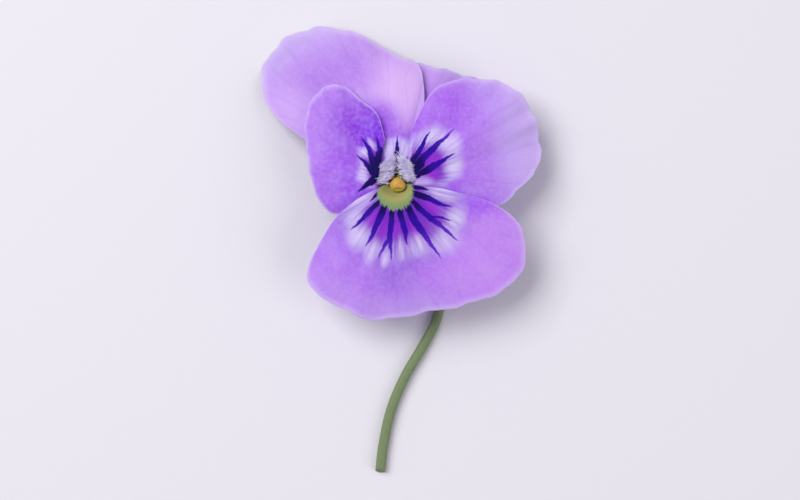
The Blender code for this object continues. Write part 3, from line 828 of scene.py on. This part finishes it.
def turned(bm, rows, steps):
    """A solid turned round the throat's axis from (radius, height) rows that meet the axis."""
    verts = [bm.verts.new((radius, 0, height)) for radius, height in rows]
    edges = [bm.edges.new(pair) for pair in zip(verts, verts[1:])]
    bmesh.ops.spin(bm, geom=verts + edges, angle=2 * math.pi, steps=steps, axis=(0, 0, 1),
                   cent=(0, 0, 0), use_merge=True)
    bmesh.ops.remove_doubles(bm, verts=bm.verts[:], dist=0.001)


def stalk_centres():
    route = smooth_line(STALK_ROUTE, STALK_RINGS + 1)
    route[:, 2] = np.maximum(route[:, 2], STALK_HALF)
    return route


def level_sides(route):
    """Level direction across the stalk at each ring."""
    last = len(route) - 1
    sides = []
    for i in range(len(route)):
        heading = route[min(i + STALK_AHEAD, last)] - route[min(i, last - 1)]
        sides.append(Vector((-heading[1], heading[0], 0)))
    return sides


def stalk_section(turn, share):
    ridge = RIDGE_HEIGHT * (math.cos(STALK_RIDGES * turn + STALK_TWIST * share) - 1) / 2
    swell = BRACT_SWELL[0] * math.exp(-((share - BRACT_PLACE) / BRACT_SWELL[1]) ** 2)
    slim = NECK[0] * (1 - share) * float(ease((NECK[1] - share) / NECK[1]))
    return STALK_HALF + ridge + swell - slim


def stalk_piece(material):
    """The ridged stalk, its two bracts and the receptacle that carries the bloom."""
    bm = bmesh.new()
    route = stalk_centres()
    caps = tube(bm, route, STALK_SIDES, level_sides(route), stalk_section,
                slant=math.tan(math.radians(CUT_SLANT)))
    for _ in range(2):
        bmesh.ops.inset_individual(bm, faces=caps, thickness=CAP_INSET[0], depth=CAP_INSET[1])
    turned(bm, RECEPTACLE_ROWS, 48)
    bract_pieces(bm)
    for vert in bm.verts:
        vert.co.z = max(vert.co.z, 0.0)
    return finish("stalk", bm, [material])


def stalk_skin(colours):
    """Pansy stalk: a juicy ridged stem, fresh green and dull violet near the bloom."""
    material, tree, surface = new_material("stalk_ridged_stem", 0.5, soft=0.1, gloss=0.3)
    own = own_map(tree, "UVMap")
    thin = node(tree, "Mapping", {
        "Vector": node(tree, "UVMap", uv_map="UVMap"), "Scale": FIBRES})
    fibres = node(tree, "TexNoise", (thin, 1.0, 3.0))
    grain = node(tree, "TexNoise", (plan_position(tree), 1.5, 4.0))
    violet = node(tree, "MapRange", (own["Y"], 0.4, 0.05, 0.0, 0.45), **SOFT)
    light = node(tree, "MapRange", (fibres, 0.45, 0.7, 0.0, 0.5))
    dull = node(tree, "MapRange", (grain, 0.5, 0.75, 0.0, 0.4))
    colour = layered(tree, colours.stalk, (
        (light, 1, colours.stalk_light), (dull, 1, colours.stalk_dark),
        (violet, 1, colours.stalk_violet)))
    coat(tree, surface, colour, fibres, 0.4, 0.0001)
    return material


def bract_pieces(bm):
    """Two small pointed scales, one on each side of the stalk, as thin cupped blades."""
    route = stalk_centres()
    place = int(BRACT_PLACE * STALK_RINGS)
    foot = Vector(route[place])
    back = Vector(route[place - 3] - route[place]).normalized()
    side = Vector((-back.y, back.x, 0))
    for hand in (-1, 1):
        verts, backs = double_sheet(bm, 8, 14)
        for vert in verts:
            across = 2 * vert.co.x
            share = vert.co.y + 0.5
            width = BRACT_HALF * (1 - share) ** 0.6 * (0.75 + 0.5 * share) + BRACT_LEAST
            thick = (BRACT_THICK if vert in backs else -BRACT_THICK) * (1 - 0.6 * share)
            cup = BRACT_CUP * across ** 2 * width
            out = side * hand * (BRACT_FOOT + BRACT_SPREAD * share ** 1.3 - cup + thick)
            vert.co = foot + out + back * BRACT_LENGTH * share + Vector((0, 0, across * width))


def spur_piece(material):
    """Blunt heel behind the lower petal's claw."""
    bm = bmesh.new()
    line = smooth_line(SPUR_LINE, 29)
    centres = np.column_stack([np.zeros(len(line)), line[:, 0], line[:, 1]])

    def section(turn, share):
        end = max(0.0, (share - SPUR_ROUND) / (1 - SPUR_ROUND))
        end = math.sqrt(max(0.0, 1 - end ** 2 * SPUR_CLOSE))
        groove = SPUR_GROOVE * abs(math.sin(turn / 2)) ** 8
        return float(np.interp(share, np.linspace(0, 1, len(line)), line[:, 2])) * end - groove

    tube(bm, centres, SPUR_SIDES, [Vector((1, 0, 0))] * len(line), section)
    return finish("spur", bm, [material])


ANTHER_COUNT = 5
ANTHER_BASE = 9.6
ANTHER_TALL = 1.9
ANTHER_RING = 1.08      # radius that the anthers' middles stand on
ANTHER_HALF = 0.66
ANTHER_LEAN = 8.0
FLAP_TALL = 1.1
SAC_DEPTH = 0.5         # half depth of a pollen sac
SAC_GROOVE = (0.16, 0.2)    # depth and width of the groove between its two halves
FLAP_RADII = (0.64, 0.2)
FLAP_FLAT = 0.42        # depth of a flap over its width
ANTHER_BEVEL = 0.07
SHARP = math.radians(40)
STIGMA_PLACE = (0.35, -0.4, 12.45)
STIGMA_RADIUS = 1.3
STYLE_ROWS = ((0.0, 9.6), (0.42, 9.6), (0.72, 10.0), (0.76, 10.5), (0.5, 11.2), (0.34, 11.9),
              (0.42, 12.4), (0.0, 12.6))
MOUTH = (0, -0.86, 0.5)     # direction of the stigma's mouth
MOUTH_DENT = 0.34       # share of the radius
MOUTH_LIP = 0.07
STIGMA_TAPER = (1.1, 0.3)   # width at the middle, and how much it narrows to the back
STIGMA_FLAT = 0.82


def anther_pieces(colours):
    """Five anthers in a cone round the ovary, each with two pollen sacs and an orange flap."""
    bm = bmesh.new()
    for k in range(ANTHER_COUNT):
        turn = 2 * math.pi * (k + 0.5) / ANTHER_COUNT + math.pi / 2
        before = set(bm.verts)
        bmesh.ops.create_uvsphere(bm, u_segments=28, v_segments=18, radius=1.0)
        sac = [vert for vert in bm.verts if vert not in before]
        for vert in sac:
            x, y, z = vert.co
            groove = SAC_GROOVE[0] * math.exp(-(x / SAC_GROOVE[1]) ** 2) * (1 if y < 0 else 0.3)
            vert.co = (x * ANTHER_HALF, y * (SAC_DEPTH - groove), z * ANTHER_TALL / 2)
        before = set(bm.verts)
        bmesh.ops.create_cone(bm, cap_ends=True, segments=20, radius1=FLAP_RADII[0],
                              radius2=FLAP_RADII[1], depth=FLAP_TALL)
        flap = [vert for vert in bm.verts if vert not in before]
        bmesh.ops.scale(bm, vec=(1.0, FLAP_FLAT, 1.0), verts=flap)
        bmesh.ops.translate(bm, vec=(0, 0.1, ANTHER_TALL / 2 + 0.12), verts=flap)
        for face in {face for vert in flap for face in vert.link_faces}:
            face.material_index = 1
        stand = (Matrix.Rotation(turn + math.pi / 2, 4, "Z")
                 @ Matrix.Translation((0, -ANTHER_RING, ANTHER_BASE + ANTHER_TALL / 2))
                 @ Matrix.Rotation(math.radians(-ANTHER_LEAN), 4, "X"))
        bmesh.ops.transform(bm, matrix=stand, verts=sac + flap)
    edges = [edge for edge in bm.edges if edge.calc_face_angle(0.0) > SHARP]
    bmesh.ops.bevel(bm, geom=edges, offset=ANTHER_BEVEL, segments=2, profile=0.5,
                    affect="EDGES", material=-1)
    return finish("anthers", bm, [pollen_sac(colours), anther_flap(colours)])


def grainy(name, rough, soft, low, high, scale, depth):
    """A small part's skin: two close colours mixed by a grain, with the same grain as relief."""
    material, tree, surface = new_material(name, rough, soft=soft)
    grain = node(tree, "TexNoise", (plan_position(tree), scale, 3.0))
    mask = node(tree, "MapRange", (grain, 0.35, 0.65))
    coat(tree, surface, layered(tree, low, [(mask, 1, high)]), grain, 0.5, depth)
    return material


def pollen_sac(colours):
    """Pollen sac: dusty cream yellow, with grains of about 0.1 mm shown twice as coarse."""
    return grainy("anther_pollen_sac", 0.8, 0.1, colours.pollen_shade, colours.pollen, 5.0, 0.0001)


def anther_flap(colours):
    """Anther's flap: a papery orange tongue."""
    return grainy("anther_papery_flap", 0.6, 0.2, colours.flap_shade, colours.flap, 2.5, 0.00005)


def stigma_skin(colours):
    """Stigma: a sticky round knob, yellow-green and orange at its crown, with a wet gloss."""
    material, tree, surface = new_material("stigma_sticky_knob", 0.42, soft=0.2)
    plan = plan_position(tree)
    high = node(tree, "SeparateXYZ", (plan,)).outputs["Z"]
    crown = node(tree, "MapRange", (high, STIGMA_PLACE[2] + 0.2, STIGMA_PLACE[2] + 1.2), **SOFT)
    grain = node(tree, "TexNoise", (plan, 3.0, 3.0))
    specks = node(tree, "MapRange", (grain, 0.5, 0.7, 0.0, 0.35))
    colour = layered(tree, colours.stigma, ((crown, 1, colours.flap), (specks, 1, colours.pollen)))
    coat(tree, surface, colour, grain, 0.4, 0.00008)
    return material


def stigma_piece(material):
    """Ovary, style and a round stigma whose mouth faces the lower petal."""
    bm = bmesh.new()
    turned(bm, STYLE_ROWS, 32)
    before = set(bm.verts)
    bmesh.ops.create_uvsphere(bm, u_segments=40, v_segments=28, radius=STIGMA_RADIUS)
    mouth = Vector(MOUTH).normalized()
    for vert in set(bm.verts) - before:
        near = max(0.0, vert.co.normalized().dot(mouth))
        dent = MOUTH_DENT * float(ease((near - 0.86) / 0.12))
        lip = MOUTH_LIP * math.exp(-((near - 0.82) / 0.05) ** 2)
        vert.co *= 1 - dent + lip
        vert.co.x *= STIGMA_TAPER[0] - STIGMA_TAPER[1] * vert.co.y / STIGMA_RADIUS
        vert.co.z *= STIGMA_FLAT
        vert.co += Vector(STIGMA_PLACE)
    return finish("stigma", bm, [material])


# Beards are tufts of short hairs that grow on the inner edges of the side petals and bend over
# the throat. Their roots and their tips follow lines of (x, y).
BEARDS = {
    "beard_left": {
        "petal": "petal_side_left",
        "roots": ((-3.3, -0.1), (-2.9, 0.9), (-2.8, 1.9), (-2.7, 2.9)),
        "tips": ((-1.5, 0.4), (-0.5, 1.9), (0.0, 3.5), (0.1, 5.1)),
    },
    "beard_right": {
        "petal": "petal_side_right",
        "roots": ((3.5, 0.4), (3.2, 1.3), (3.0, 2.3), (2.8, 3.3)),
        "tips": ((1.9, 0.7), (0.7, 2.0), (0.4, 3.5), (0.4, 5.1)),
    },
}
BEARD_HAIRS = 700
BEARD_TOP = 13.1        # height that the tips reach
HAIR_SIDES = 6
HAIR_CUTS = 4
HAIR_SHAPE = ((0.0, 0.9), (0.2, 0.6), (0.5, 0.65), (0.8, 1.15), (1.0, 0.55))  # (share, radius)
ROOT_SCATTER = (0.25, 0.3)  # spread of the roots in x and y
ROOT_NUDGE = 0.15
TIP_SCATTER = (0.25, 0.45)
TIP_DROP = (-1.4, 0.1)  # least and most height over the tuft's top
HAIR_REACH = (0.3, 1.05)    # how far a hair gets to its tip's place
HAIR_UNEVEN = (0.8, 1.2)    # thinnest and thickest hair
HAIR_ARCH = (0.05, 0.3)


def hair_pattern():
    """One hair of length and radius 1 along Z, waisted and swollen to its tip."""
    bm = bmesh.new()
    bmesh.ops.create_cone(bm, cap_ends=True, segments=HAIR_SIDES, radius1=1.0, radius2=1.0,
                          depth=1.0)
    long_edges = [edge for edge in bm.edges if abs(edge.verts[0].co.z - edge.verts[1].co.z) > 0.5]
    bmesh.ops.subdivide_edges(bm, edges=long_edges, cuts=HAIR_CUTS, use_grid_fill=True)
    for vert in bm.verts:
        vert.co.z += 0.5
        wide = np.interp(vert.co.z, *zip(*HAIR_SHAPE))
        vert.co.x *= wide
        vert.co.y *= wide
    return mesh_from("hair_pattern", bm)


def beard_piece(name, spec, sizes, material):
    """A tuft rooted on a side petal's edge and bent over the throat."""
    points, _ = petal_surface(PETALS[spec["petal"]], sizes)
    flat = points.reshape(-1, 3)
    draw = random.Random(name)
    roots = smooth_line(spec["roots"], 60)
    tips = smooth_line(spec["tips"], 60)
    pattern = hair_pattern()
    bm = bmesh.new()
    for _ in range(BEARD_HAIRS):
        share = draw.random()
        k = int(share * (len(roots) - 1))
        aim = roots[k] + np.array([draw.gauss(0, wide) for wide in ROOT_SCATTER])
        root = Vector(flat[np.argmin(np.sum((flat[:, :2] - aim) ** 2, axis=1))])
        root += Vector([draw.uniform(-ROOT_NUDGE, ROOT_NUDGE) for _ in range(3)])
        full = Vector((*tips[k], BEARD_TOP)) + Vector(
            (*[draw.gauss(0, wide) for wide in TIP_SCATTER], draw.uniform(*TIP_DROP)))
        tip = root.lerp(full, draw.uniform(*HAIR_REACH))
        run = (tip - root).normalized()
        side = run.cross(Vector((0, 0, 1))).normalized()
        up = side.cross(run)
        radius = sizes.beard_hair / MM / 2 * draw.uniform(*HAIR_UNEVEN)
        arch = draw.uniform(*HAIR_ARCH)
        bm.from_mesh(pattern)
        bm.verts.ensure_lookup_table()
        for vert in bm.verts[-len(pattern.vertices):]:
            x, y, share = vert.co
            vert.co = (root.lerp(tip, share) + side * x * radius
                       + up * (y * radius + arch * math.sin(math.pi * share)))
    bpy.data.meshes.remove(pattern)
    return finish(name, bm, [material])


def beard_hair(colours):
    """Beard hairs: clear, watery cells that read as soft white."""
    return grainy("beard_clear_hair", 0.35, 0.4, colours.beard_shade, colours.beard, 1.2, 0.00002)


def colour_value(name, code, about):
    return bpy.props.FloatVectorProperty(name=name, description=about, default=linear(code),
                                         size=4, min=0.0, max=1.0, subtype="COLOR")


def length_value(name, value, about):
    return bpy.props.FloatProperty(name=name, description=about, default=value * MM, min=0.0,
                                   precision=5, unit="LENGTH")


class PansySizes(bpy.types.PropertyGroup):
    petal_thickness: length_value("Petal", 0.36, "Thickness of a petal near its claw")
    rim_thickness: length_value("Rim", 0.16, "Thickness of a petal at its rim")
    vein_relief: length_value("Veins", 0.06, "How far the veins stand out on a petal's back")
    ruffle: length_value("Ruffle", 0.28, "Height of the small waves along a petal's rim")
    beard_hair: length_value("Beard hair", 0.12, "Thickness of the hairs over the throat")


class PansyColours(bpy.types.PropertyGroup):
    whisker_root: colour_value("Whisker root", "120058", "Whiskers close to the eye")
    whisker: colour_value("Whisker", "3002a0", "Whiskers along their length")
    whisker_tip: colour_value("Whisker tip", "6428c8", "Whiskers at their tips")
    glow: colour_value("Glow", "a024dc", "Magenta violet between the whiskers")
    dusk: colour_value("Dusk", "560cb0", "Deep violet between the whiskers' roots")
    pale_zone: colour_value("Pale zone", "d6caf7", "Pale zone round the whiskers")
    spot: colour_value("Spots", "dcd0f9", "Nearly white spots between the whiskers' tips")
    flush: colour_value("Flushes", "ac34dc", "Magenta flushes between the whiskers")
    bloom_light: colour_value("Light", "d2b8f6", "Lighter clouds on the blades")
    vein: colour_value("Vein", "9660e2", "Fine veins of the blades")
    margin: colour_value("Margin", "dac8fa", "Thin pale margin of the petals")
    eye: colour_value("Eye", "809c66", "Yellow-green rim of the eye on the lower petal")
    eye_heart: colour_value("Eye heart", "aca768", "Yellow heart of the eye")
    back: colour_value("Back", "bd9eea", "Underside of the petals")
    back_flush: colour_value("Back flush", "a566de", "Underside near the claws")
    claw: colour_value("Claw", "b9c48e", "Claws of the petals")
    sepal: colour_value("Sepal", "43573b", "Sepals")
    sepal_rib: colour_value("Sepal rib", "6b7d52", "Ribs of the sepals")
    sepal_flush: colour_value("Sepal flush", "3b3358", "Margins and tips of the sepals")
    stalk: colour_value("Stalk", "7ca640", "Stalk")
    stalk_light: colour_value("Stalk light", "a3c262", "Lighter fibres of the stalk")
    stalk_dark: colour_value("Stalk dark", "5b7e30", "Darker patches of the stalk")
    stalk_violet: colour_value("Stalk violet", "71587c", "Stalk near the bloom")
    pollen: colour_value("Pollen", "e3c45a", "Pollen")
    pollen_shade: colour_value("Pollen shade", "b89a48", "Pollen sacs between the grains")
    flap: colour_value("Flap", "d0943e", "Flaps of the anthers")
    flap_shade: colour_value("Flap shade", "b9681f", "Flaps in their folds")
    stigma: colour_value("Stigma", "b8a844", "Stigma and style")
    beard: colour_value("Beard", "f0e4ff", "Beard hairs")
    beard_shade: colour_value("Beard shade", "d2beff", "Beard hairs in their thicker cells")
    floor: colour_value("Floor", "ebe8f0", "Floor")


def dress(piece, slot, *nodes):
    """Hides the solids that a piece stands for and hangs the piece on the body it rides on. Its
    slot is not used.
    """
    if nodes:
        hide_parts(*nodes)
    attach(piece, "root")


class PANSY_OT_petals(bpy.types.Operator):
    """Five petals in their layers, with their markings"""
    bl_idname = "pansy.petals"
    bl_label = "Add petals"

    def execute(self, context):
        sizes = context.scene.pansy_sizes
        colours = context.scene.pansy_colours
        back = petal_back(colours)
        for name, spec in PETALS.items():
            face = petal_front(name, PETAL_LOOKS[name], colours)
            piece = petal_piece(f"{name}_fine", spec, sizes, [face, back])
            dress(piece, "petal_pale" if "upper" in name else "petal_violet", name)
        dress(spur_piece(back), "petal_violet")
        return {"FINISHED"}


class PANSY_OT_beards(bpy.types.Operator):
    """Two tufts of hairs over the throat"""
    bl_idname = "pansy.beards"
    bl_label = "Add beards"

    def execute(self, context):
        material = beard_hair(context.scene.pansy_colours)
        for name, spec in BEARDS.items():
            dress(beard_piece(name, spec, context.scene.pansy_sizes, material), "petal_violet")
        return {"FINISHED"}


class PANSY_OT_throat(bpy.types.Operator):
    """Anthers in a cone round the pistil with its round stigma"""
    bl_idname = "pansy.throat"
    bl_label = "Add anthers and stigma"

    def execute(self, context):
        colours = context.scene.pansy_colours
        dress(anther_pieces(colours), "anther", "stamens")
        dress(stigma_piece(stigma_skin(colours)), "stigma", "pistil")
        return {"FINISHED"}


class PANSY_OT_sepals(bpy.types.Operator):
    """Five sepals behind the petals"""
    bl_idname = "pansy.sepals"
    bl_label = "Add sepals"

    def execute(self, context):
        material = sepal_green(context.scene.pansy_colours)
        for name, angle in SEPAL_ANGLES.items():
            line = SEPAL_LINE_LOWER if "lower" in name else SEPAL_LINE_UPPER
            dress(sepal_piece(f"{name}_fine", angle, line, material), "sepal", name)
        return {"FINISHED"}


class PANSY_OT_stalk(bpy.types.Operator):
    """The hooked stalk with its receptacle and two bracts"""
    bl_idname = "pansy.stalk"
    bl_label = "Add stalk"

    def execute(self, context):
        dress(stalk_piece(stalk_skin(context.scene.pansy_colours)), "stalk", "stem")
        return {"FINISHED"}


FLOOR_SIZE = 3.0
PICTURE = (800, 500)
MARGIN = 1.08           # picture height over the flower's length
LENS = 85.0
SENSOR = 36.0
SKY = "f3f0f8"
SKY_STRENGTH = 0.36
LAMPS = (
    # name, place in metres, size in metres, watts
    ("key", (-0.45, 0.35, 0.75), 0.6, 6.6),
    ("fill", (0.6, -0.25, 0.6), 0.6, 1.9),
)


class PANSY_OT_stage(bpy.types.Operator):
    """A plain pale floor, two soft lamps and a camera that looks straight down"""
    bl_idname = "pansy.stage"
    bl_label = "Add stage"

    def execute(self, context):
        scene = context.scene
        bm = bmesh.new()
        bmesh.ops.create_grid(bm, x_segments=1, y_segments=1, size=FLOOR_SIZE / 2)
        floor = show("floor", mesh_from("floor", bm))
        floor.data.materials.append(floor_paper(scene.pansy_colours))
        for name, place, size, watts in LAMPS:
            light = bpy.data.lights.new(name, "AREA")
            light.size = size
            light.energy = watts
            lamp = show(name, light)
            lamp.location = place
            lamp.rotation_euler = (-Vector(place)).to_track_quat("-Z", "Y").to_euler()
        scene.world = bpy.data.worlds.new("studio")
        scene.world.use_nodes = True
        sky = scene.world.node_tree.nodes["Background"]
        sky.inputs["Color"].default_value = linear(SKY)
        sky.inputs["Strength"].default_value = SKY_STRENGTH
        lens = bpy.data.cameras.new("camera")
        lens.lens = LENS
        lens.sensor_width = SENSOR
        scene.camera = show("camera", lens)
        low, high = CAD_BOX
        tall = (high.y - low.y) * MARGIN
        away = tall / (SENSOR * PICTURE[1] / PICTURE[0]) * LENS
        scene.camera.location = ((low.x + high.x) / 2, (low.y + high.y) / 2, high.z + away)
        scene.view_settings.view_transform = "Standard"
        return {"FINISHED"}


def floor_paper(colours):
    """Matt studio paper with a faint tooth of about 1 mm."""
    material, tree, surface = new_material("floor_studio_paper", 0.85)
    place = node(tree, "TexCoord").outputs["Object"]
    tooth = node(tree, "TexNoise", (place, 900.0, 3.0))
    coat(tree, surface, colours.floor, tooth, 0.1, 0.0002)
    return material


OPERATORS = (PANSY_OT_petals, PANSY_OT_beards, PANSY_OT_throat, PANSY_OT_sepals, PANSY_OT_stalk,
             PANSY_OT_stage)


class PANSY_PT_build(bpy.types.Panel):
    """Sizes, colours and the steps that build the flower"""
    bl_idname = "PANSY_PT_build"
    bl_label = "Pansy bloom"
    bl_space_type = "VIEW_3D"
    bl_region_type = "UI"
    bl_category = "Pansy"

    def draw(self, context):
        for settings in (context.scene.pansy_sizes, context.scene.pansy_colours):
            for name in settings.__annotations__:
                self.layout.prop(settings, name)
        for step in OPERATORS:
            self.layout.operator(step.bl_idname)


CLASSES = (PansySizes, PansyColours, *OPERATORS, PANSY_PT_build)


def register():
    for thing in CLASSES:
        bpy.utils.register_class(thing)
    bpy.types.Scene.pansy_sizes = bpy.props.PointerProperty(type=PansySizes)
    bpy.types.Scene.pansy_colours = bpy.props.PointerProperty(type=PansyColours)


def unregister():
    del bpy.types.Scene.pansy_colours
    del bpy.types.Scene.pansy_sizes
    for thing in reversed(CLASSES):
        bpy.utils.unregister_class(thing)


def main():
    register()
    bpy.ops.pansy.petals()
    bpy.ops.pansy.beards()
    bpy.ops.pansy.throat()
    bpy.ops.pansy.sepals()
    bpy.ops.pansy.stalk()
    bpy.ops.pansy.stage()


if __name__ == "__main__":
    main()
